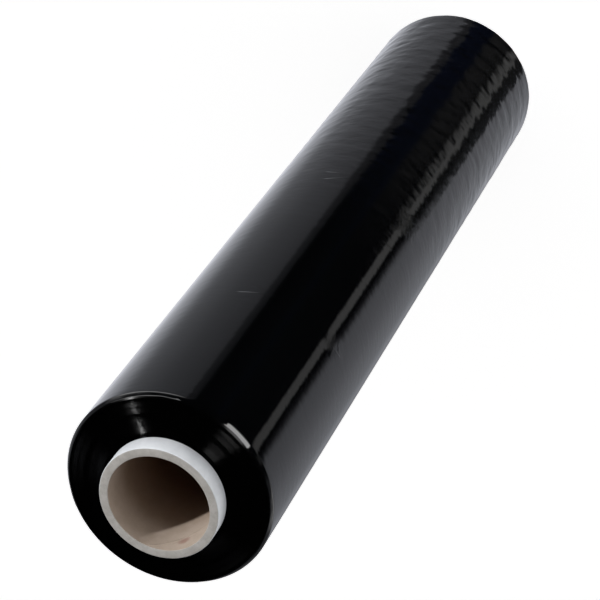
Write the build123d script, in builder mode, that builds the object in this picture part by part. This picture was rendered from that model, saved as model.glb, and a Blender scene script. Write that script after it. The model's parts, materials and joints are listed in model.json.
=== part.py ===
from build123d import *

import os

# Stretch wrap roll: film wound tightly on a paperboard core, in millimetres.
# The roll stands on end. +Z runs up its axis, and the origin is the centre of
# the core's lower end, on the surface that the roll stands on.

# Core: a spiral-wound paperboard tube, cut square at both ends.
core_bore_diameter = 50.0
core_wall = 4.0
core_projection = 10.0  # how far the core stands out of the film at each end
core_edge_chamfer = 0.3  # the saw leaves the cut edges slightly softened

# Film: every turn of the web is one solid, wound tight on the core.
film_width = 500.0
film_diameter = 101.0
film_shoulder_radius = 2.5  # where the side turns over into each end
film_inner_edge_radius = 0.8  # where each end tucks in against the core

# Sizes that follow from those above.
core_bore_radius = core_bore_diameter / 2
core_outer_radius = core_bore_radius + core_wall
core_length = film_width + 2 * core_projection
film_outer_radius = film_diameter / 2
film_build_up = film_outer_radius - core_outer_radius

# The core carries the film, and a dispenser's mandrel passes through its bore.
with BuildPart() as core_tube:
    with BuildSketch(Plane.XY):
        Circle(core_outer_radius)
        Circle(core_bore_radius, mode=Mode.SUBTRACT)
    extrude(amount=core_length)
    end_faces = core_tube.faces().filter_by(GeomType.PLANE)
    chamfer(end_faces.edges(), core_edge_chamfer)

# The film is a thick ring: its bore is the core's outside, and its section is
# a rectangle with small corners against the core and rounder ones outside.
with BuildPart() as wound_film:
    with BuildSketch(Plane.XZ) as section:
        with Locations((core_outer_radius, core_projection)):
            Rectangle(film_build_up, film_width, align=(Align.MIN, Align.MIN))
        inner_corners = section.vertices().group_by(Axis.X)[0]
        outer_corners = section.vertices().group_by(Axis.X)[-1]
        fillet(inner_corners, film_inner_edge_radius)
        fillet(outer_corners, film_shoulder_radius)
    revolve(axis=Axis.Z)

core_tube.part.label = "core_tube"
wound_film.part.label = "wound_film"

os.makedirs("parts", exist_ok=True)
export_step(core_tube.part, "parts/core_tube.step")
export_step(wound_film.part, "parts/wound_film.step")
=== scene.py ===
"""Looks of a stretch wrap roll: glossy black film wound tight on a paperboard core.

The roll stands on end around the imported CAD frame. The film's outer turns are a
rippled shell, its two ends are stacked film edges, and the core is a spiral-wound
tube with a pale outer ply, a cut end and a brown-grey bore. Lengths are metres.
"""

import json
import logging
import math
from dataclasses import dataclass, field
from enum import Enum

import bpy
import numpy as np
from mathutils import Matrix, Vector


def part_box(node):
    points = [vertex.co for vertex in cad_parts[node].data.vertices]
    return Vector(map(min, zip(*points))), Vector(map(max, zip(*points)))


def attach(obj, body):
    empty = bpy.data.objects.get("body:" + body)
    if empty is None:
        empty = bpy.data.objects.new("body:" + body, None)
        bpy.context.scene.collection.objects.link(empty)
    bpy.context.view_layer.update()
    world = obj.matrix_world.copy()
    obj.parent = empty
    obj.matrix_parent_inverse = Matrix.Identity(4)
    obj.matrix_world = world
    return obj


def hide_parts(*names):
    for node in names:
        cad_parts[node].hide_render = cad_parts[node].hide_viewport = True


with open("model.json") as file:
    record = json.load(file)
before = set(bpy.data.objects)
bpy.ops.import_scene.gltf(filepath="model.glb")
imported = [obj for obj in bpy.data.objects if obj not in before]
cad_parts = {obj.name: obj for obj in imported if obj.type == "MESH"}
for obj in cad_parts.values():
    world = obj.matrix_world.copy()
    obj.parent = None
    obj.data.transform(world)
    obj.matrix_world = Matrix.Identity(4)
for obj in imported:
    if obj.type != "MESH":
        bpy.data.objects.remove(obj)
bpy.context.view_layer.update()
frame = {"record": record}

MM = 0.001
WHITE = (1.0, 1.0, 1.0, 1.0)
LOG = logging.getLogger("stretch_wrap_roll")

Socket = bpy.types.NodeSocket
Object = bpy.types.Object
Material = bpy.types.Material
Value = float | Socket
Pair = tuple[float, float]
Colour = tuple[float, float, float]


class RollEnd(Enum):
    """The two ends of the roll, as the direction in which each one faces."""

    TOP = 1.0
    BASE = -1.0


class Graph:
    """A shader or geometry node tree under construction."""

    def __init__(self, tree: bpy.types.NodeTree) -> None:
        """Starts from an empty tree.

        Args:
            tree: the node tree to fill; what it held before is removed.
        """
        self.tree = tree
        tree.nodes.clear()
        self.is_shader = tree.bl_idname == "ShaderNodeTree"

    def add(self, kind: str, inputs: dict | None = None, **settings) -> bpy.types.Node:
        """Adds a node, sets its properties and fills its inputs.

        Args:
            kind: the node's type.
            inputs: socket name or number to a plain value or to another node's output.
            settings: properties of the node itself.

        Returns:
            The new node.
        """
        node = self.tree.nodes.new(kind)
        for name, value in settings.items():
            setattr(node, name, value)
        for key, value in (inputs or {}).items():
            if isinstance(value, Socket):
                self.tree.links.new(value, node.inputs[key])
            else:
                node.inputs[key].default_value = value
        return node

    def math(self, operation: str, *values: Value) -> Socket:
        """Returns the result of one math operation on one to three values."""
        return self.out("ShaderNodeMath", dict(enumerate(values)), operation=operation)

    def vector(self, operation: str, *values: tuple | Socket) -> Socket:
        """Returns the vector result of one vector math operation."""
        return self.out("ShaderNodeVectorMath", dict(enumerate(values)), operation=operation)

    def length(self, vector: Socket) -> Socket:
        """Returns the length of a vector."""
        return self.add("ShaderNodeVectorMath", {0: vector}, operation="LENGTH").outputs["Value"]

    def xyz(self, vector: Socket) -> list[Socket]:
        """Returns the three parts of a vector."""
        return list(self.add("ShaderNodeSeparateXYZ", {0: vector}).outputs)

    def join(self, x: Value, y: Value, z: Value) -> Socket:
        """Returns a vector made of three parts."""
        return self.out("ShaderNodeCombineXYZ", {0: x, 1: y, 2: z})

    def window(self, value: Socket, low: float, high: float, soft: float) -> Socket:
        """Returns 1 between two values and 0 outside them, with soft sides.

        Args:
            value: what is measured.
            low: where the window starts.
            high: where it ends.
            soft: how far each side's change reaches, both inwards and outwards.

        Returns:
            The window's value.
        """
        rise = self.span(value, low - soft, low + soft)
        fall = self.span(value, high - soft, high + soft, 1.0, 0.0)
        return self.math("MULTIPLY", rise, fall)

    def span(
        self,
        value: Socket,
        low: Value,
        high: Value,
        to_low: float = 0.0,
        to_high: float = 1.0,
    ) -> Socket:
        """Returns a smooth step of a value.

        Args:
            value: what is measured.
            low: where the step starts.
            high: where the step ends.
            to_low: the result below the step.
            to_high: the result above it.

        Returns:
            The step's value.
        """
        inputs = {"Value": value, 1: low, 2: high, 3: to_low, 4: to_high}
        return self.out("ShaderNodeMapRange", inputs, interpolation_type="SMOOTHSTEP")

    def out(self, kind: str, inputs: dict | None = None, **settings) -> Socket:
        """Adds a node as add does, and returns its first output."""
        return self.add(kind, inputs, **settings).outputs[0]

    def times_plus(self, first: Socket, second: Value, third: Value) -> Socket:
        """Returns the product of two values with a third one added."""
        return self.math("MULTIPLY_ADD", first, second, third)

    def times(self, first: Value, second: Value) -> Socket:
        """Returns a product."""
        return self.math("MULTIPLY", first, second)

    def plus(self, first: Value, second: Value) -> Socket:
        """Returns a sum."""
        return self.math("ADD", first, second)

    def minus(self, first: Value, second: Value) -> Socket:
        """Returns a difference."""
        return self.math("SUBTRACT", first, second)

    def compare(self, operation: str, first: Socket, second: Value) -> Socket:
        """Returns whether a comparison of two numbers holds, in a geometry tree."""
        inputs = {0: first, 1: second}
        return self.out("FunctionNodeCompare", inputs, data_type="FLOAT", operation=operation)

    def stretch(self, vector: Socket, around: float, upright: float) -> Socket:
        """Returns a vector with x and y scaled by one factor and z by another."""
        return self.vector("MULTIPLY", vector, (around, around, upright))

    def bearing(self, x: Socket, y: Socket) -> Socket:
        """Returns a direction's bearing in degrees, from -Y towards +X."""
        return self.math("DEGREES", self.math("ARCTAN2", x, self.math("MULTIPLY", y, -1.0)))

    def noise(self, vector: Socket, scale: float, detail: float = 2.0, roughness: float = 0.5) -> Socket:
        """Returns 3-D noise from about 0 to 1 at a point."""
        inputs = {"Vector": vector, "Scale": scale, "Detail": detail, "Roughness": roughness}
        return self.out("ShaderNodeTexNoise", inputs)

    def ramp(self, value: Socket, stops: list[tuple[float, Colour]]) -> Socket:
        """Returns the colour that a value from 0 to 1 has on a ramp.

        Args:
            value: the place on the ramp.
            stops: pairs of place and colour, in rising order.

        Returns:
            The ramp's colour.
        """
        node = self.add("ShaderNodeValToRGB", {0: value})
        elements = node.color_ramp.elements
        while len(elements) < len(stops):
            elements.new(1.0)
        for element, (place, colour) in zip(elements, stops):
            element.position = place
            element.color = (*colour, 1.0)
        return node.outputs[0]

    def blend(self, factor: Value, first: Colour | Socket, second: Colour | Socket) -> Socket:
        """Returns a mix of two colours.

        Args:
            factor: the second colour's share, from 0 to 1.
            first: the colour where the factor is 0.
            second: the colour where the factor is 1.

        Returns:
            The mixed colour.
        """
        node = self.add("ShaderNodeMix", data_type="RGBA")
        for index, value in ((0, factor), (6, first), (7, second)):
            if isinstance(value, Socket):
                self.tree.links.new(value, node.inputs[index])
            else:
                node.inputs[index].default_value = value if index == 0 else (*value, 1.0)
        return node.outputs[2]


# ---------------------------------------------------------------- finishes


def new_material(name: str) -> tuple[Material, Graph, bpy.types.Node, Socket]:
    """Makes a material that holds a Principled shader.

    Args:
        name: the material's name.

    Returns:
        The material, its graph, the shader node and the Object coordinates.
    """
    material = bpy.data.materials.new(name)
    material.use_nodes = True
    graph = Graph(material.node_tree)
    shader = graph.add("ShaderNodeBsdfPrincipled")
    output = graph.add("ShaderNodeOutputMaterial")
    graph.tree.links.new(shader.outputs[0], output.inputs[0])
    place = graph.add("ShaderNodeTexCoord").outputs["Object"]
    return material, graph, shader, place


def add_bump(graph: Graph, shader: bpy.types.Node, height: Socket, depth: float) -> None:
    """Links a bump to a shader.

    Args:
        graph: the material's graph.
        shader: the shader that the bump is for.
        height: the surface's height, from 0 to 1.
        depth: what a height of 1 measures, in metres.
    """
    bump = graph.add("ShaderNodeBump", {"Height": height, "Distance": depth, "Strength": 1.0})
    graph.tree.links.new(bump.outputs[0], shader.inputs["Normal"])


@dataclass(frozen=True)
class Crease:
    """A fine crease that runs across the film; angles in degrees from -Y towards +X."""

    start: float
    end: float
    height: float
    rise: float = 0.0  # how much higher it ends than it starts
    width: float = 0.7 * MM
    fade: float = 1.5  # degrees over which each end fades

    def raised(self, graph: Graph, around: Socket, z: Socket) -> Socket:
        """Returns the crease's height, from 0 to 1, at one place.

        Args:
            graph: the material's graph.
            around: the place's angle round the roll.
            z: its height.

        Returns:
            The height.
        """
        along = graph.minus(around, self.start)
        line = graph.times_plus(along, self.rise / (self.end - self.start), self.height)
        apart = graph.math("ABSOLUTE", graph.minus(z, line))
        ridge = graph.span(apart, 0.0, self.width, 1.0, 0.0)
        return graph.times(ridge, graph.window(around, self.start, self.end, self.fade))


@dataclass(frozen=True)
class Pucker:
    """A small patch of crossed wrinkles; its angle in degrees from -Y towards +X."""

    around: float
    height: float
    reach: float = 13 * MM
    slant: float = 1.2
    noise_scale: float = 260.0

    def raised(self, graph: Graph, place: Socket, radius: float) -> Socket:
        """Returns the wrinkles' height, from 0 to 1, at one place.

        Args:
            graph: the material's graph.
            place: the place on the film.
            radius: the film's radius.

        Returns:
            The height.
        """
        turn = math.radians(self.around)
        centre = (radius * math.sin(turn), -radius * math.cos(turn), self.height)
        apart = graph.length(graph.vector("SUBTRACT", place, centre))
        x, y, z = graph.xyz(place)
        slanted = graph.join(x, y, graph.times_plus(x, self.slant, z))
        wrinkles = graph.noise(slanted, self.noise_scale, 3.0, 0.6)
        patch = graph.span(apart, 0.25 * self.reach, self.reach, 1.0, 0.0)
        return graph.times(wrinkles, patch)


@dataclass(frozen=True)
class FilmFinish:
    """Glossy black polyethylene on the outermost turn."""

    colour: Colour = (0.0005, 0.00055, 0.0007)
    roughness: float = 0.045
    haze: float = 0.03  # how much the roughness varies
    haze_scale: float = 60.0
    refraction: float = 1.5
    hoop_scale: Pair = (110.0, 330.0)  # of the hoop lines, round the roll and up it
    hoop_depth: float = 0.14 * MM
    hoop_reach: float = 500 * MM  # the height over which the strength below runs from 0 to 1
    hoop_strength: tuple = (
        (0.0, 1.0), (0.14, 0.9), (0.3, 0.65), (0.55, 0.55), (0.985, 0.45), (0.99, 1.0),
    )
    crease_depth: float = 0.08 * MM
    creases: tuple[Crease, ...] = (
        Crease(-36, -20, 250 * MM, 14 * MM),
        Crease(-34, -19, 246 * MM, 13 * MM),
        Crease(-24, -17, 275 * MM, 3 * MM),
        Crease(-25, -20, 294 * MM, 2 * MM),
        Crease(8, 34, 257 * MM, 12 * MM, 0.5 * MM),
        Crease(26, 36, 259 * MM, 1 * MM, 0.5 * MM),
        Crease(13, 34, 400 * MM, 5 * MM, 0.5 * MM),
        Crease(-38, -27, 397 * MM, 3 * MM, 0.5 * MM),
    )
    pucker_depth: float = 0.22 * MM
    puckers: tuple[Pucker, ...] = (Pucker(-26, 264 * MM, 15 * MM), Pucker(-31, 398 * MM, 10 * MM))

    def make(self, base_height: float, radius: float) -> Material:
        """Builds the material.

        Args:
            base_height: the height of the film's lower end.
            radius: the film's radius.

        Returns:
            The material.
        """
        material, graph, shader, place = new_material("film_outer_turn")
        shader.inputs["Base Color"].default_value = (*self.colour, 1.0)
        shader.inputs["IOR"].default_value = self.refraction
        x, y, z = graph.xyz(place)
        lines = graph.noise(graph.stretch(place, *self.hoop_scale), 1.0, 2.0)
        above = graph.minus(z, base_height)
        stops = [(spot, (strength,) * 3) for spot, strength in self.hoop_strength]
        fade = graph.ramp(graph.times(above, 1 / self.hoop_reach), stops)
        height = graph.times(graph.times(lines, fade), self.hoop_depth)
        around = graph.bearing(x, y)
        for crease in self.creases:
            ridge = crease.raised(graph, around, z)
            height = graph.times_plus(ridge, self.crease_depth, height)
        for pucker in self.puckers:
            wrinkles = pucker.raised(graph, place, radius)
            height = graph.times_plus(wrinkles, self.pucker_depth, height)
        cloud = graph.noise(place, self.haze_scale, 3.0)
        rough = graph.times_plus(cloud, self.haze, self.roughness - 0.5 * self.haze)
        graph.tree.links.new(rough, shader.inputs["Roughness"])
        add_bump(graph, shader, height, 1.0)
        return material


@dataclass(frozen=True)
class FilmEdgeFinish:
    """The cut edges of the turns, seen together at each end."""

    colour: Colour = (0.0009, 0.0009, 0.001)
    roughness: float = 0.13
    refraction: float = 1.5
    groove_depth: float = 0.001 * MM
    groove_scale: Pair = (30.0, 6000.0)  # round the roll and across the turns

    def make(self) -> Material:
        """Builds the material."""
        material, graph, shader, place = new_material("film_turn_edges")
        shader.inputs["Base Color"].default_value = (*self.colour, 1.0)
        shader.inputs["Roughness"].default_value = self.roughness
        shader.inputs["IOR"].default_value = self.refraction
        x, y, _ = graph.xyz(place)
        reach = graph.length(graph.join(x, y, 0.0))
        grooves = graph.stretch(graph.join(x, y, reach), *self.groove_scale)
        add_bump(graph, shader, graph.noise(grooves, 1.0, 1.0), self.groove_depth)
        return material


@dataclass(frozen=True)
class PaperFinish:
    """Paperboard: pulp fibres, faint mottling and the colour of one ply."""

    name: str
    colour: Colour
    mottle: Colour
    mottle_scale: float = 110.0
    mottle_levels: Pair = (0.35, 0.65)  # noise values between which the mottle grows
    fibre_depth: float = 0.03 * MM
    fibre_scale: float = 1400.0
    fibre_stretch: float = 0.35  # the scale up the tube, as a share of that across it
    roughness: float = 0.8
    specular_level: float = 0.3

    def make(self) -> Material:
        """Builds the material."""
        material, graph, shader, place = new_material(self.name)
        shader.inputs["Roughness"].default_value = self.roughness
        shader.inputs["Specular IOR Level"].default_value = self.specular_level
        cloud = graph.span(graph.noise(place, self.mottle_scale, 4.0, 0.65), *self.mottle_levels)
        colour = self.shade(graph, graph.blend(cloud, self.colour, self.mottle), place)
        graph.tree.links.new(colour, shader.inputs["Base Color"])
        drawn = graph.stretch(place, 1.0, self.fibre_stretch)
        fibres = graph.noise(drawn, self.fibre_scale, 3.0, 0.6)
        add_bump(graph, shader, fibres, self.fibre_depth)
        return material

    def shade(self, graph: Graph, colour: Socket, place: Socket) -> Socket:
        """Adds what only one of the paper's sides shows; the plain side shows nothing more.

        Args:
            graph: the material's graph.
            colour: the mottled colour.
            place: the Object coordinates.

        Returns:
            The finished colour.
        """
        return colour


@dataclass(frozen=True)
class CutEndFinish(PaperFinish):
    """The sawn end of the tube, where the edges of the plies show as fine rings."""

    ply: float = 0.5 * MM
    line: Colour = (0.30, 0.28, 0.255)
    line_strength: float = 0.75
    line_reach: Pair = (0.1, 0.24)  # from a ply's middle, in plies, where its line fades
    wander_scale: float = 160.0
    wander: float = 0.7  # how far a line strays, in plies
    break_scale: float = 420.0
    break_levels: Pair = (0.42, 0.62)  # noise values between which a line appears

    def shade(self, graph: Graph, colour: Socket, place: Socket) -> Socket:
        """Adds a broken line between each two plies.

        Args:
            graph: the material's graph.
            colour: the mottled colour.
            place: the Object coordinates.

        Returns:
            The finished colour.
        """
        x, y, _ = graph.xyz(place)
        reach = graph.length(graph.join(x, y, 0.0))
        stray = graph.noise(place, self.wander_scale, 2.0)
        strayed = graph.times_plus(stray, self.wander * self.ply, reach)
        across = graph.math("FRACT", graph.math("DIVIDE", strayed, self.ply))
        from_middle = graph.math("ABSOLUTE", graph.minus(across, 0.5))
        line = graph.span(from_middle, *self.line_reach, 1.0, 0.0)
        broken = graph.span(graph.noise(place, self.break_scale, 2.0), *self.break_levels)
        share = graph.times(graph.times(line, broken), self.line_strength)
        return graph.blend(share, colour, self.line)


@dataclass(frozen=True)
class BoreFinish(PaperFinish):
    """The inside of the tube: brown-grey board with painted shade that darkens it away from its ends,
    and one rub mark.
    """

    # painted shade: the colour that the bore darkens to deep inside the tube, and the depths where that
    # darkening starts and is complete
    painted_shade_colour: Colour = (0.19, 0.10, 0.055)
    shade_start_depth: float = 12 * MM
    shade_full_depth: float = 60 * MM
    tube_length: float = 520 * MM
    mark_at: tuple[float, float, float] = (-19.4 * MM, 15.8 * MM, 511.6 * MM)
    mark_reach: Pair = (2.4 * MM, 5.0 * MM)  # where it starts and stops fading
    mark_scale: float = 300.0
    mark_wander: float = 3.0 * MM
    mark_strength: float = 0.85
    mark_colour: Colour = (0.36, 0.22, 0.18)

    def shade(self, graph: Graph, colour: Socket, place: Socket) -> Socket:
        """Adds painted shade that darkens the bore away from its ends, and a faint reddish rub mark.

        Args:
            graph: the material's graph.
            colour: the mottled colour.
            place: the Object coordinates.

        Returns:
            The finished colour.
        """
        _, _, z = graph.xyz(place)
        # painted shade: the bore's colour darkens with depth from the nearer end, in place of the shade
        # that falls deep in the tube
        depth = graph.math("MINIMUM", z, graph.minus(self.tube_length, z))
        inside = graph.span(depth, self.shade_start_depth, self.shade_full_depth)
        bore_with_painted_shade = graph.blend(inside, colour, self.painted_shade_colour)
        apart = graph.length(graph.vector("SUBTRACT", place, self.mark_at))
        blot = graph.times_plus(graph.noise(place, self.mark_scale, 2.0), self.mark_wander, apart)
        mark = graph.span(blot, *self.mark_reach, self.mark_strength, 0.0)
        return graph.blend(mark, bore_with_painted_shade, self.mark_colour)


# ---------------------------------------------------------------- meshes


def new_object(name: str, data: bpy.types.ID) -> Object:
    """Makes an object.

    Args:
        name: the object's name.
        data: its mesh, lamp or camera.

    Returns:
        The object, linked to the scene.
    """
    made = bpy.data.objects.new(name, data)
    bpy.context.scene.collection.objects.link(made)
    return made


def rows_between(low: float, high: float, step: float) -> list[float]:
    """Returns evenly spaced heights from low to high, no further apart than step."""
    count = max(1, math.ceil(abs(high - low) / step))
    return [low + (high - low) * i / count for i in range(count + 1)]


def soften(corners: list[tuple[float, float, float]], steps: int = 4) -> list[Pair]:
    """Rounds the corners of an open path.

    Args:
        corners: radius, height and how far back from the corner its rounding starts.
        steps: how many steps each rounding has.

    Returns:
        The path's points, with each rounded corner as a short curve.
    """
    path = []
    for index, (x, y, back) in enumerate(corners):
        corner = np.array((x, y))
        if back == 0.0:
            path.append((x, y))
            continue
        before, after = (np.array(corners[index + way][:2]) for way in (-1, 1))
        start = corner + (before - corner) / np.linalg.norm(before - corner) * back
        end = corner + (after - corner) / np.linalg.norm(after - corner) * back
        for t in np.linspace(0.0, 1.0, steps + 1):
            path.append(tuple((1 - t) ** 2 * start + 2 * t * (1 - t) * corner + t**2 * end))
    return path


def smooth(mesh: bpy.types.Mesh, crease: float = 30.0) -> None:
    """Shades a mesh smooth, except along its sharp edges.

    Args:
        mesh: the mesh to shade.
        crease: the bend in degrees past which an edge stays sharp.
    """
    mesh.polygons.foreach_set("use_smooth", np.ones(len(mesh.polygons), bool))
    mesh.update()
    mesh.set_sharp_from_angle(angle=math.radians(crease))


def lathe(
    name: str,
    outline: list[Pair],
    segments: int,
    finishes: list[int] | None = None,
) -> Object:
    """Turns a closed outline about the roll's axis into a closed ring.

    Args:
        name: the new object's name.
        outline: points of radius and height, anticlockwise, with no repeated end point.
        segments: how many steps the ring has round the axis.
        finishes: the material index of the band that starts at each point.

    Returns:
        The new object, linked to the scene.
    """
    profile = np.array(outline)
    turns = np.arange(segments) * 2 * math.pi / segments
    rows, count = len(profile), segments
    across = profile[:, 0][:, None]
    heights = np.repeat(profile[:, 1][:, None], count, 1)
    points = np.stack([across * np.cos(turns), across * np.sin(turns), heights], axis=2).reshape(-1, 3)
    i, j = np.meshgrid(np.arange(rows), np.arange(count), indexing="ij")
    i_next, j_next = (i + 1) % rows, (j + 1) % count
    row, next_row = i * count, i_next * count
    faces = np.stack([row + j, row + j_next, next_row + j_next, next_row + j], axis=2)
    mesh = bpy.data.meshes.new(name)
    mesh.from_pydata(points.tolist(), [], faces.reshape(-1, 4).tolist())
    if finishes:
        mesh.polygons.foreach_set("material_index", np.repeat(finishes, count))
    smooth(mesh)
    return new_object(name, mesh)


class RuleTree:
    """A geometry node tree whose sizes are named inputs."""

    def __init__(self, name: str, **sizes: float | int) -> None:
        """Makes the tree and its inputs.

        Args:
            name: the tree's name.
            sizes: each named input and its value; whole numbers make integer inputs.
        """
        self.tree = bpy.data.node_groups.new(name, "GeometryNodeTree")
        self.graph = Graph(self.tree)
        self.sizes = sizes
        interface = self.tree.interface
        interface.new_socket("Geometry", in_out="INPUT", socket_type="NodeSocketGeometry")
        interface.new_socket("Geometry", in_out="OUTPUT", socket_type="NodeSocketGeometry")
        for label, value in sizes.items():
            kind = "NodeSocketInt" if isinstance(value, int) else "NodeSocketFloat"
            interface.new_socket(label, in_out="INPUT", socket_type=kind)
        interface.new_socket("finish", in_out="INPUT", socket_type="NodeSocketMaterial")
        self.given = self.graph.add("NodeGroupInput").outputs

    def close(self, geometry: Socket) -> None:
        """Ends the tree in Realize Instances and Set Material.

        Args:
            geometry: what the tree has built.
        """
        real = self.graph.out("GeometryNodeRealizeInstances", {0: geometry})
        inputs = {"Geometry": real, "Material": self.given["finish"]}
        dressed = self.graph.add("GeometryNodeSetMaterial", inputs)
        self.graph.add("NodeGroupOutput", {0: dressed.outputs[0]})

    def apply(self, piece: Object, finish: Material) -> Object:
        """Runs the tree on a piece and keeps the result as its plain mesh.

        Args:
            piece: the object that the tree changes.
            finish: the material that the tree sets.

        Returns:
            The same object.
        """
        modifier = piece.modifiers.new(self.tree.name, "NODES")
        modifier.node_group = self.tree
        values = {**self.sizes, "finish": finish}
        for item in self.tree.interface.items_tree:
            if item.in_out == "INPUT" and item.name in values:
                modifier[item.identifier] = values[item.name]
        graph = bpy.context.evaluated_depsgraph_get()
        made = bpy.data.meshes.new_from_object(piece.evaluated_get(graph))
        piece.modifiers.remove(modifier)
        piece.data = made
        made.name = piece.name
        return piece


def empty_piece(name: str) -> Object:
    """Returns a linked mesh object with nothing in it, for a tree to fill."""
    return new_object(name, bpy.data.meshes.new(name))


def seat(piece: Object, node: str) -> None:
    """Ties a finished piece to the frame.

    Args:
        piece: the finished piece.
        node: the CAD node that it stands for.
    """
    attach(piece, "root")
    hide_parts(node)
    triangles = sum(len(face.vertices) - 2 for face in piece.data.polygons)
    LOG.info("%s: %d triangles, stands for %s", piece.name, triangles, node)


# ---------------------------------------------------------------- the film


@dataclass
class WoundFilm:
    """The film: a rippled outer skin, the stacked edges of the turns, and the loose tail."""

    low: float
    high: float
    radius: float
    core_radius: float
    turn_radius: float = 0.5 * MM  # how far from a corner of the shoulder its rounding starts
    shoulder_widths: Pair = (1.0 * MM, 1.3 * MM)  # its inner and its outer slope
    shoulder_slopes: Pair = (38.0, 55.0)  # degrees that each one falls outwards
    face_fall: float = 1.0 * MM  # how much lower the face is at the shoulder than at the core
    skin: float = 4.0 * MM
    segments: int = 384
    row_steps: Pair = (2.0 * MM, 5.0 * MM)  # in the loose zone and above it
    edge_rings: int = 38
    edge_segments: int = 192
    loose_zone: float = 340 * MM
    band_scale: Pair = (6.0, 38.0)  # round the roll and up it, as for the ripples
    band_height: float = 0.09 * MM
    ripple_scale: Pair = (80.0, 130.0)
    ripple_height: float = 0.75 * MM
    edge_overlap: float = 0.3 * MM  # how far the rings reach under the shoulder
    unevenness: float = 0.002 * MM
    tread_depth: float = 0.5 * MM
    tread_slope: float = 37.0  # degrees that the outer side of each bundle of turns falls
    tread_crease: float = 20.0  # the bend in degrees past which a ring's edge stays sharp
    tail_bearing: float = 138.0  # degrees from -Y towards +X
    tail_width: float = 8.0 * MM
    tail_lift: float = 0.22 * MM
    tail_wander: float = 1.6 * MM
    tail_gap: float = 3.5 * MM  # between the tail and each end of the film
    tail_buried: float = 1.0 * MM
    tail_noise: float = 14.0
    tail_steps: int = 240
    fall_shape: tuple = (  # how the face falls from the core to the shoulder, as shares
        (0.0, 0.0), (0.12, 0.02), (0.28, 0.34), (0.48, 0.54), (0.53, 0.55), (0.62, 0.56), (0.65, 0.60),
        (0.74, 0.73), (0.8, 0.78), (0.9, 0.97), (0.93, 0.99), (1.0, 1.0),
    )
    parts: list[Object] = field(default_factory=list)

    @property
    def lip(self) -> float:
        """The radius at which the end face meets the shoulder."""
        return self.radius - sum(self.shoulder_widths)

    def build(self) -> None:
        """Builds the skin, both ends and the loose end of the last turn."""
        finish = FilmFinish().make(self.low, self.radius)
        self.parts.append(self.outer_skin(finish))
        for end in RollEnd:
            self.parts.append(self.stacked_edges(end))
        self.parts.append(self.tail_edge(finish))

    def outer_skin(self, finish: Material) -> Object:
        """Builds the outer turns as a closed shell with a rounded shoulder at each end.

        Args:
            finish: the film's material.

        Returns:
            The skin.
        """
        loose_top = self.low + self.loose_zone
        reaches = [self.lip, self.lip + self.shoulder_widths[0], self.radius]
        slopes = [math.tan(math.radians(slope)) for slope in self.shoulder_slopes]
        drops = [width * slope for width, slope in zip(self.shoulder_widths, slopes)]
        falls = [self.face_fall, self.face_fall + drops[0], self.face_fall + sum(drops)]
        backs = (0.4 * self.turn_radius, self.turn_radius, self.turn_radius)
        ends = []
        for face, way in ((self.low, 1), (self.high, -1)):
            corners = [(self.radius - self.skin, face + way * self.face_fall, 0)]
            for reach, fall, back in zip(reaches, falls, backs):
                corners.append((reach, face + way * fall, back))
            ends.append(soften(corners + [(self.radius, loose_top, 0)])[:-1])
        below, above = ends
        loose_rows = rows_between(below[-1][1], loose_top, self.row_steps[0])[1:]
        tight_rows = rows_between(loose_top, above[-1][1], self.row_steps[1])[1:-1]
        outline = below + [(self.radius, z) for z in loose_rows + tight_rows] + above[::-1]
        skin = lathe("film_outer_turns", outline, self.segments)
        return self.ripple_rule().apply(skin, finish)

    def tail_edge(self, finish: Material) -> Object:
        """Builds the last turn's loose end: a thin edge that wanders up the back of the roll.

        Args:
            finish: the film's material.

        Returns:
            The tail.
        """
        rule = RuleTree(
            "film_tail",
            radius=self.radius,
            middle=(self.low + self.high) / 2,
            length=self.high - self.low - 2 * self.tail_gap,
            width=self.tail_width,
            lift=self.tail_lift,
            wander=self.tail_wander,
            bearing=math.radians(self.tail_bearing),
            buried=self.tail_buried,
            steps_up=self.tail_steps,
        )
        graph, given = rule.graph, rule.given
        size = graph.join(given["width"], 1.0, given["length"])
        inputs = {"Size": size, "Vertices X": 6, "Vertices Y": 2, "Vertices Z": given["steps_up"]}
        block = graph.out("GeometryNodeMeshCube", inputs)
        across, inwards, z = graph.xyz(graph.out("GeometryNodeInputPosition"))
        swing = graph.minus(graph.noise(graph.join(0.0, 0.0, z), self.tail_noise, 3.0), 0.5)
        shift = graph.times_plus(swing, given["wander"], across)
        angle = graph.plus(graph.math("DIVIDE", shift, given["radius"]), given["bearing"])
        rise = graph.plus(graph.math("DIVIDE", across, given["width"]), 0.5)
        proud = graph.times_plus(rise, given["lift"], given["radius"])
        sunk = graph.minus(given["radius"], given["buried"])
        is_inner = graph.math("GREATER_THAN", inwards, 0.0)
        step = graph.times(is_inner, graph.minus(sunk, proud))
        reach = graph.plus(proud, step)
        place = graph.join(
            graph.times(reach, graph.math("SINE", angle)),
            graph.times(reach, graph.times(graph.math("COSINE", angle), -1.0)),
            graph.plus(z, given["middle"]),
        )
        rule.close(graph.out("GeometryNodeSetPosition", {"Geometry": block, "Position": place}))
        tail = rule.apply(empty_piece("film_tail_edge"), finish)
        tail = self.ripple_rule().apply(tail, finish)
        smooth(tail.data)
        return tail

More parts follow.
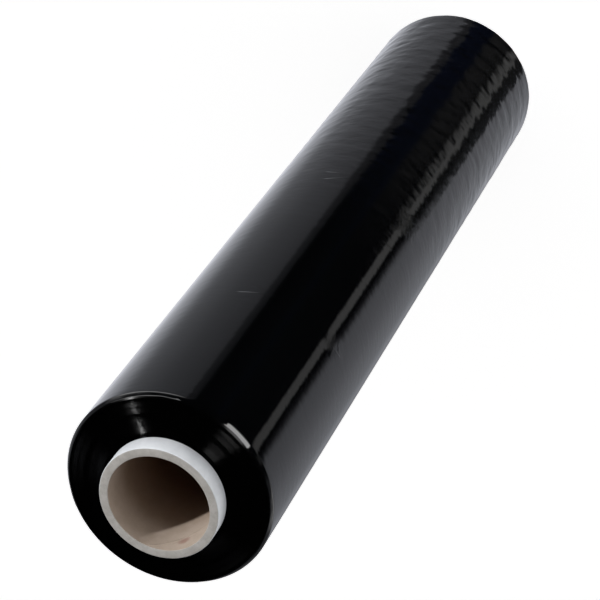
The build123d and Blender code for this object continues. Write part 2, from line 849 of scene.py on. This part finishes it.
    def ripple_rule(self) -> RuleTree:
        """Builds the tree that gives the film its gauge bands and its loose ripples.

        Returns:
            The tree, ready to be run on a piece.
        """
        rule = RuleTree(
            "film_ripples",
            outside=self.radius - 0.5 * self.shoulder_widths[1],
            base=self.low,
            loose_top=self.low + self.loose_zone,
            band_height=self.band_height,
            ripple_height=self.ripple_height,
        )
        graph, given = rule.graph, rule.given
        place = graph.out("GeometryNodeInputPosition")
        x, y, z = graph.xyz(place)
        flat = graph.join(x, y, 0.0)
        outwards = graph.vector("NORMALIZE", flat)
        reach = graph.length(flat)
        bands, ripples = (
            graph.minus(graph.noise(graph.stretch(place, *scale), 1.0, 2.0), 0.5)
            for scale in (self.band_scale, self.ripple_scale)
        )
        loose = graph.span(z, given["base"], given["loose_top"], 1.0, 0.0)
        height = graph.math(
            "ADD",
            graph.times(bands, given["band_height"]),
            graph.times(graph.times(ripples, loose), given["ripple_height"]),
        )
        sunk = graph.minus(height, graph.times(given["band_height"], 0.6))
        outer = graph.compare("GREATER_THAN", reach, given["outside"])
        shift = graph.out("ShaderNodeVectorMath", {0: outwards, "Scale": sunk}, operation="SCALE")
        inputs = {"Geometry": given["Geometry"], "Selection": outer, "Offset": shift}
        moved = graph.add("GeometryNodeSetPosition", inputs)
        rule.close(moved.outputs[0])
        return rule

    def stacked_edges(self, end: RollEnd) -> Object:
        """Builds one end of the film from rings that stand for bundles of turns.

        Args:
            end: which end of the roll it is.

        Returns:
            The rings as one piece.
        """
        face = self.high if end is RollEnd.TOP else self.low
        rule = RuleTree(
            f"film_edge_rings_{end.name.lower()}",
            inner_radius=self.core_radius,
            outer_radius=self.lip + self.edge_overlap,
            rings=self.edge_rings,
            steps_round=self.edge_segments,
            face=face,
            fall=self.face_fall,
            facing=end.value,
            unevenness=self.unevenness,
            seed=7 if end is RollEnd.TOP else 19,
        )
        graph, given = rule.graph, rule.given
        count = given["rings"]
        line = graph.out("GeometryNodeMeshLine", {"Count": count}, mode="OFFSET")
        index = graph.out("GeometryNodeInputIndex")
        part = graph.math("DIVIDE", graph.plus(index, 0.5), count)
        width = graph.minus(given["outer_radius"], given["inner_radius"])
        ring_radius = graph.times_plus(part, width, given["inner_radius"])
        pitch = graph.math("DIVIDE", width, count)
        shape = graph.add("ShaderNodeFloatCurve", {"Factor": 1.0, "Value": part})
        curve = shape.mapping.curves[0]
        curve.points[0].location = self.fall_shape[0]
        curve.points[1].location = self.fall_shape[-1]
        for spot in self.fall_shape[1:-1]:
            curve.points.new(*spot)
        for point in curve.points:
            point.handle_type = "VECTOR"
        shape.mapping.update()
        deepest = graph.times(given["unevenness"], -1.0)
        inputs = {2: deepest, 3: 0.0, "ID": index, "Seed": given["seed"]}
        uneven = graph.add("FunctionNodeRandomValue", inputs, data_type="FLOAT").outputs[1]
        fall = graph.minus(uneven, graph.times(shape.outputs[0], given["fall"]))
        height = graph.times_plus(fall, given["facing"], given["face"])
        inputs = {"Geometry": line, "Position": graph.join(0.0, 0.0, height)}
        points = graph.out("GeometryNodeSetPosition", inputs)
        inputs = {"Resolution": given["steps_round"], "Radius": 1.0}
        circle = graph.out("GeometryNodeCurvePrimitiveCircle", inputs)
        rings = graph.out(
            "GeometryNodeInstanceOnPoints",
            {"Points": points, "Instance": circle, "Scale": graph.join(ring_radius, ring_radius, 1.0)},
        )
        real = graph.out("GeometryNodeRealizeInstances", {0: rings})
        upright = graph.out("GeometryNodeSetCurveNormal", {"Curve": real}, mode="Z_UP")
        evened = graph.out("GeometryNodeSetCurveRadius", {"Curve": upright, "Radius": 1.0})
        half = graph.times(pitch, 0.5)
        inner = graph.times(half, -1.0)
        foot = graph.plus(half, self.tread_depth / math.tan(math.radians(self.tread_slope)))
        down = graph.times(given["facing"], self.tread_depth)
        tread = graph.out(
            "GeometryNodeCurvePrimitiveQuadrilateral",
            {
                "Point 1": graph.join(inner, 0.0, 0.0),
                "Point 2": graph.join(half, 0.0, 0.0),
                "Point 3": graph.join(foot, down, 0.0),
                "Point 4": graph.join(inner, down, 0.0),
            },
            mode="POINTS",
        )
        swept = graph.out("GeometryNodeCurveToMesh", {"Curve": evened, "Profile Curve": tread})
        inside_out = graph.compare("LESS_THAN", given["facing"], 0.0)
        turned = graph.out("GeometryNodeFlipFaces", {"Mesh": swept, "Selection": inside_out})
        inputs = {"Geometry": turned, "Shade Smooth": True}
        even = graph.out("GeometryNodeSetShadeSmooth", inputs, domain="FACE")
        bend = graph.out("GeometryNodeInputMeshEdgeAngle")
        crisp = graph.compare("GREATER_THAN", bend, math.radians(self.tread_crease))
        inputs = {"Geometry": even, "Selection": crisp, "Shade Smooth": False}
        edged = graph.out("GeometryNodeSetShadeSmooth", inputs, domain="EDGE")
        rule.close(edged)
        return rule.apply(empty_piece(f"film_edges_{end.name.lower()}"), FilmEdgeFinish().make())

    def dress(self) -> None:
        """Ties every piece of the film to its CAD node."""
        for piece in self.parts:
            seat(piece, "wound_film")


# ---------------------------------------------------------------- the core


@dataclass
class CoreTube:
    """The paperboard tube: pale outer ply, cut ends and a brown-grey bore."""

    low: float
    high: float
    radius: float
    bore: float
    edge: float = 0.5 * MM
    burr: float = 0.35 * MM  # how far the sawn end's inner edge stands into the bore
    burr_depth: float = 1.2 * MM
    row_step: float = 12 * MM
    outer_margin: float = 2 * MM  # between each end and the first row of the outer side
    bore_margin: float = 14 * MM  # the same, of the bore
    segments: int = 256
    seam_lead: float = 110 * MM
    seam_margin: float = 1.5 * MM
    seam_width: float = 1.2 * MM
    seam_thickness: float = 0.16 * MM
    seam_steps: int = 96
    seam_sunk: Pair = (0.03 * MM, 0.02 * MM)  # outside and inside
    parts: list[Object] = field(default_factory=list)

    def build(self) -> None:
        """Builds the tube's wall and the lap of its paper strip on both sides."""
        wall = self.wall()
        outer, _, inner = wall.data.materials
        self.parts.append(wall)
        self.parts.append(self.seam("outside", self.radius - self.seam_sunk[0], outer))
        self.parts.append(self.seam("inside", self.bore + self.seam_sunk[1], inner))

    def wall(self) -> Object:
        """Builds the tube as one closed ring with a finish for each side.

        Returns:
            The tube's wall.
        """
        outline, finishes = [], []

        def run(points: list[Pair], finish: int) -> None:
            """Adds a stretch of the outline with one finish."""
            outline.extend(points)
            finishes.extend([finish] * len(points))

        lip = self.bore - self.burr
        for end, way in ((self.high, 1), (self.low, -1)):
            corners = [
                (self.radius, end - way * 2 * self.edge, 0),
                (self.radius, end, 1.2 * self.edge),
                (lip, end, 0.6 * self.edge),
                (self.bore, end - way * self.burr_depth, 0),
            ]
            for spot in soften(corners, 3)[::way]:
                inside = spot[0] < self.bore + 0.1 * MM and abs(spot[1] - end) > 0.05 * MM
                outside = spot[0] > self.radius - 0.2 * MM
                run([spot], 2 if inside else 0 if outside else 1)
            if way == 1:
                margin = self.bore_margin
                rows = rows_between(self.low + margin, self.high - margin, self.row_step)
                run([(self.bore, z) for z in reversed(rows)], 2)
        margin = self.outer_margin
        rows = rows_between(self.low + margin, self.high - margin, self.row_step)
        run([(self.radius, z) for z in rows], 0)
        tube = lathe("core_wall", outline, self.segments, finishes)
        for finish in (
            PaperFinish("core_outer_ply", (0.55, 0.567, 0.59), (0.50, 0.517, 0.54)),
            CutEndFinish("core_cut_end", (0.48, 0.46, 0.435), (0.42, 0.40, 0.375)),
            BoreFinish("core_bore", (0.51, 0.42, 0.35), (0.46, 0.375, 0.305), tube_length=self.high),
        ):
            tube.data.materials.append(finish.make())
        return tube

    def seam(self, side: str, radius: float, finish: Material) -> Object:
        """Builds the narrow lap of the paper strip that winds up one side of the tube.

        Args:
            side: the side's name, for the piece's own name.
            radius: the radius on which the lap lies.
            finish: the lap's material.

        Returns:
            The lap.
        """
        rule = RuleTree(
            f"core_seam_{side}",
            radius=radius,
            start=self.low + self.seam_margin,
            rise=self.high - self.low - 2 * self.seam_margin,
            lead=self.seam_lead,
            width=self.seam_width,
            thickness=self.seam_thickness,
            steps_round=self.seam_steps,
        )
        graph, given = rule.graph, rule.given
        spiral = graph.out(
            "GeometryNodeCurveSpiral",
            {
                "Resolution": given["steps_round"],
                "Rotations": graph.math("DIVIDE", given["rise"], given["lead"]),
                "Start Radius": given["radius"],
                "End Radius": given["radius"],
                "Height": given["rise"],
            },
        )
        lift = graph.join(0.0, 0.0, given["start"])
        moved = graph.out("GeometryNodeSetPosition", {"Geometry": spiral, "Offset": lift})
        upright = graph.out("GeometryNodeSetCurveNormal", {"Curve": moved}, mode="Z_UP")
        inputs = {0: given["thickness"], 1: given["width"]}
        strip = graph.out("GeometryNodeCurvePrimitiveQuadrilateral", inputs)
        inputs = {"Curve": upright, "Profile Curve": strip, "Fill Caps": True}
        rule.close(graph.out("GeometryNodeCurveToMesh", inputs))
        return rule.apply(empty_piece(f"core_seam_{side}"), finish)

    def dress(self) -> None:
        """Ties every piece of the core to its CAD node."""
        for piece in self.parts:
            seat(piece, "core_tube")


# ---------------------------------------------------------------- the studio


@dataclass(frozen=True)
class Panel:
    """A bright panel of the surround that only glossy surfaces show; angles in degrees."""

    bearings: Pair
    heights: Pair
    level: float
    soft: float = 2.0

    def mirrored(self, graph: Graph, bearing: Socket, height: Socket) -> Socket:
        """Returns the panel's brightness in one direction.

        Args:
            graph: the surround's graph.
            bearing: the direction's bearing in degrees, from -Y towards +X.
            height: its height over the horizon in degrees.

        Returns:
            The brightness.
        """
        across = graph.window(bearing, *self.bearings, self.soft)
        upright = graph.window(height, *self.heights, self.soft)
        return graph.times(graph.times(across, upright), self.level)


@dataclass
class Studio:
    """The pale floor, the soft surround, the lamps and the camera."""

    floor_size: float = 12.0
    floor_glow: float = 0.85
    floor_colour: float = 0.8
    soft_level: float = 0.92
    low_level: float = 0.8
    low_bearing: float = -50.0
    low_share: float = 0.8
    low_edge: Pair = (-0.02, 0.1)
    soft_edge: Pair = (0.38, 0.55)
    front_share: float = 0.55
    overhead_level: float = 0.01
    side_level: float = 0.45
    cool_tint: Colour = (0.955, 0.98, 1.065)
    deep_tint: Colour = (0.55, 0.8, 1.8)
    strip_tint: Colour = (1.0, 1.0, 0.99)
    # Pairs of bearing and brightness round the roll, far below the horizon and nearer to it.
    steep_panels: tuple = (
        (-180, 0.0), (-174, 0.0), (-160, 0.5), (-136, 0.5), (-100, 0.48), (-76, 0.45), (-73, 0.04),
        (-55, 0.03), (-51, 0.30), (-40, 0.22), (-34, 0.03), (-16, 0.05), (-6, 0.045), (2, 0.015),
        (28, 0.02), (32, 0.08), (39, 0.07), (42, 0.13), (46, 0.29), (64, 0.32), (88, 0.36),
        (96, 0.42), (112, 0.50), (128, 0.70), (140, 0.76), (160, 0.9), (174, 0.0), (180, 0.0),
    )
    shallow_panels: tuple = (
        (-180, 0.0), (-174, 0.0), (-160, 0.34), (-136, 0.37), (-112, 0.44), (-72, 0.42),
        (-68, 0.33), (-66, 0.20), (-62.5, 0.04), (-58, 0.0), (-55, 0.0), (-54, 0.34), (-45.5, 0.34),
        (-44.5, 0.0), (-4, 0.0), (2, 0.011), (8, 0.0), (31.5, 0.0), (33.5, 0.06), (39, 0.085),
        (42, 0.22), (56, 0.27), (72, 0.29), (88, 0.33), (104, 0.35), (112, 0.40), (120, 0.55),
        (128, 0.69), (144, 0.81), (164, 0.95), (174, 0.0), (180, 0.0),
    )
    panel_split: Pair = (-62.6, -59.0)  # heights between the steep and the shallow
    panel_floor: Pair = (-76.0, -71.0)  # heights where the panels begin
    panel_dim: Pair = (-46.0, -34.0)  # heights where they grow dimmer
    panel_top: Pair = (4.0, 12.0)  # heights where they end
    high_panels: tuple[Panel, ...] = (
        Panel(bearings=(-36, -12), heights=(42, 60), level=1.9),
        Panel(bearings=(-32, -12), heights=(-36, 2), level=0.9, soft=3.0),
        Panel(bearings=(38, 96), heights=(-36, -6), level=2.6, soft=9.0),
        Panel(bearings=(-108, -76), heights=(-32, -6), level=1.7, soft=8.0),
        Panel(bearings=(-200, 40), heights=(68, 86), level=1.6, soft=5.0),
    )
    rim_panels: tuple[Panel, ...] = (
        Panel(bearings=(-36, -9), heights=(2, 34), level=7.0),
        Panel(bearings=(36, 98), heights=(14, 23), level=3.2),
    )
    backdrop: float = 1.0
    key_way: Vector = Vector((0.804, -0.04, 0.593))
    key_distance: float = 1.6
    key_size: float = 0.1
    key_power: float = 23.0
    glint_power: float = 2.3
    lens: float = 138.33
    eye: Vector = Vector((0.0, -0.6613, 1.33026))
    aim: Vector = Vector((0.0013, 0.02073, 0.28272))
    roll: float = -144.57

    def build(self, film: "WoundFilm", core: "CoreTube") -> None:
        """Builds everything around the roll.

        Args:
            film: the finished film.
            core: the finished core.
        """
        target = Vector((0.0, 0.0, film.high))
        self.floor()
        place = (self.key_way, self.key_distance, self.key_size)
        key = self.lamp("key_lamp", *place, self.key_power, target)
        glint = self.lamp("glint_lamp", *place, self.glint_power, target)
        self.aim_only_at(key, core.parts)
        self.aim_only_at(glint, film.parts[1:3])
        for index, panel in enumerate(self.rim_panels):
            softbox = self.softbox(f"rim_softbox_{index}", panel, target)
            self.aim_only_at(softbox, film.parts[:1])
        for piece in core.parts:
            piece.visible_glossy = False
        self.surround()
        self.camera()
        bpy.context.scene.view_settings.view_transform = "Standard"

    def floor(self) -> None:
        """Builds a flat, pale, faintly glowing floor that glossy surfaces don't mirror."""
        half = self.floor_size / 2
        mesh = bpy.data.meshes.new("floor")
        corners = [(-half, -half, 0), (half, -half, 0), (half, half, 0), (-half, half, 0)]
        mesh.from_pydata(corners, [], [(0, 1, 2, 3)])
        floor = new_object("floor", mesh)
        material, _, shader, _ = new_material("pale_floor")
        shader.inputs["Base Color"].default_value = (self.floor_colour,) * 3 + (1.0,)
        shader.inputs["Roughness"].default_value = 1.0
        shader.inputs["Specular IOR Level"].default_value = 0.0
        shader.inputs["Emission Color"].default_value = WHITE
        shader.inputs["Emission Strength"].default_value = self.floor_glow
        mesh.materials.append(material)
        floor.visible_glossy = False
        floor.visible_diffuse = False

    def aim_only_at(self, lamp: Object, pieces: list[Object]) -> None:
        """Keeps a lamp's light to some pieces, so that it throws no hard shadow on the floor.

        Args:
            lamp: the lamp.
            pieces: the only pieces that it lights.
        """
        lit = bpy.data.collections.new(f"{lamp.name}_pieces")
        for piece in pieces:
            lit.objects.link(piece)
        lamp.light_linking.receiver_collection = lit

    def lamp(
        self,
        name: str,
        way: Vector,
        distance: float,
        size: float,
        power: float,
        target: Vector,
    ) -> Object:
        """Adds a round area lamp.

        Args:
            name: the lamp's name.
            way: the direction from the target towards the lamp.
            distance: how far the lamp is from the target.
            size: the lamp's diameter.
            power: the lamp's power in watts.
            target: the point that the lamp faces.

        Returns:
            The lamp.
        """
        data = bpy.data.lights.new(name, "AREA")
        data.shape = "DISK"
        data.size = size
        data.energy = power
        lamp = new_object(name, data)
        lamp.location = target + way.normalized() * distance
        lamp.rotation_euler = way.to_track_quat("Z", "Y").to_euler()
        lamp.visible_camera = False
        return lamp

    def softbox(self, name: str, panel: Panel, target: Vector) -> Object:
        """Adds a rectangular lamp that fills the directions of a panel.

        Args:
            name: the lamp's name.
            panel: the bearings and heights that it fills, and its brightness.
            target: the point that the lamp faces.

        Returns:
            The lamp.
        """
        spans = (panel.bearings, panel.heights)
        bearing, height = (math.radians(sum(pair) / 2) for pair in spans)
        flat = math.cos(height)
        way = Vector((flat * math.sin(bearing), -flat * math.cos(bearing), math.sin(height)))
        width, tall = (
            2 * self.key_distance * math.tan(math.radians(pair[1] - pair[0]) / 2) for pair in spans
        )
        width *= flat
        power = math.pi * width * tall * panel.level
        lamp = self.lamp(name, way, self.key_distance, width, power, target)
        lamp.data.shape = "RECTANGLE"
        lamp.data.size_y = tall
        return lamp

    def surround(self) -> None:
        """Builds the surround: even light for matt surfaces, and panels that the film mirrors.

        The film's side mirrors what lies below the horizon, so the panels are bands round the
        roll between two elevations, named by their bearing from -Y towards +X.
        """
        world = bpy.data.worlds.new("surround")
        bpy.context.scene.world = world
        world.use_nodes = True
        world.cycles.sampling_method = "NONE"
        graph = Graph(world.node_tree)
        way = graph.add("ShaderNodeTexCoord").outputs["Generated"]
        x, y, z = graph.xyz(way)
        bearing = graph.bearing(x, y)
        height = graph.math("DEGREES", graph.math("ARCSINE", z))
        turn = graph.times_plus(bearing, 1 / 360, 0.5)
        steep, shallow = (
            graph.ramp(turn, [(place / 360 + 0.5, self.tinted(place, level)) for place, level in stops])
            for stops in (self.steep_panels, self.shallow_panels)
        )
        low = graph.blend(graph.span(height, *self.panel_split), steep, shallow)
        lowest = graph.span(height, *self.panel_floor)
        upper = graph.span(height, *self.panel_dim, 1.0, self.side_level)
        highest = graph.span(height, *self.panel_top, 1.0, 0.0)
        level = graph.times(graph.times(lowest, upper), highest)
        mirrored = graph.out("ShaderNodeBackground", {"Color": low, "Strength": level})
        for panel in self.high_panels:
            bright = self.glow(graph, panel.mirrored(graph, bearing, height))
            mirrored = graph.out("ShaderNodeAddShader", {0: mirrored, 1: bright})
        ahead = graph.math("COSINE", graph.math("RADIANS", bearing))
        frontal = graph.times_plus(ahead, self.front_share, 1.0)
        upper_soft = graph.span(z, *self.soft_edge, self.soft_level, self.overhead_level)
        off = graph.minus(bearing, self.low_bearing)
        aside = graph.math("COSINE", graph.math("RADIANS", off))
        sideways = graph.times_plus(aside, self.low_share, 1.0)
        lower_soft = graph.times(sideways, graph.span(z, *self.low_edge, self.low_level, 0.0))
        soft = graph.times_plus(upper_soft, frontal, lower_soft)
        even, seen = (self.glow(graph, strength) for strength in (soft, self.backdrop))
        ray = graph.add("ShaderNodeLightPath").outputs
        lit = graph.out("ShaderNodeMixShader", {0: ray["Is Glossy Ray"], 1: even, 2: mirrored})
        whole = graph.out("ShaderNodeMixShader", {0: ray["Is Camera Ray"], 1: lit, 2: seen})
        graph.add("ShaderNodeOutputWorld", {0: whole})

    def glow(self, graph: Graph, strength: Value) -> Socket:
        """Returns a white background of one strength."""
        return graph.out("ShaderNodeBackground", {"Color": WHITE, "Strength": strength})

    def tinted(self, bearing: float, level: float) -> Colour:
        """Returns a panel's colour: neutral for the narrow strip, cool elsewhere, blue in between.

        Args:
            bearing: the panel's bearing in degrees.
            level: its brightness.

        Returns:
            The colour, scaled by the brightness.
        """
        if -58 < bearing < 0:
            tint = self.strip_tint
        else:
            tint = self.deep_tint if 0 <= bearing < 31 else self.cool_tint
        return tuple(level * part for part in tint)

    def camera(self) -> None:
        """Adds the camera, rolled so that the roll lies across the frame."""
        data = bpy.data.cameras.new("camera")
        data.lens = self.lens
        data.sensor_width = 36.0
        data.clip_start, data.clip_end = 0.05, 50.0
        camera = new_object("camera", data)
        looking = (self.aim - self.eye).to_track_quat("-Z", "Y").to_matrix().to_4x4()
        rolled = looking @ Matrix.Rotation(math.radians(self.roll), 4, "Z")
        camera.matrix_world = Matrix.Translation(self.eye) @ rolled
        bpy.context.scene.camera = camera


def main() -> None:
    """Builds the roll and its studio."""
    logging.basicConfig(level=logging.INFO, format="%(name)s: %(message)s")
    core_low, core_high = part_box("core_tube")
    film_low, film_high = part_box("wound_film")
    mounts = {mount["name"]: mount for mount in frame["record"]["mounts"]}
    bore = mounts["core_bore"]["dims"]["r_mm"] * MM
    film = WoundFilm(low=film_low.z, high=film_high.z, radius=film_high.x, core_radius=core_high.x)
    core = CoreTube(low=core_low.z, high=core_high.z, radius=core_high.x, bore=bore)
    for assembly in (film, core):
        assembly.build()
        assembly.dress()
        LOG.info("%s is built", type(assembly).__name__)
    Studio().build(film, core)


if __name__ == "__main__":
    main()
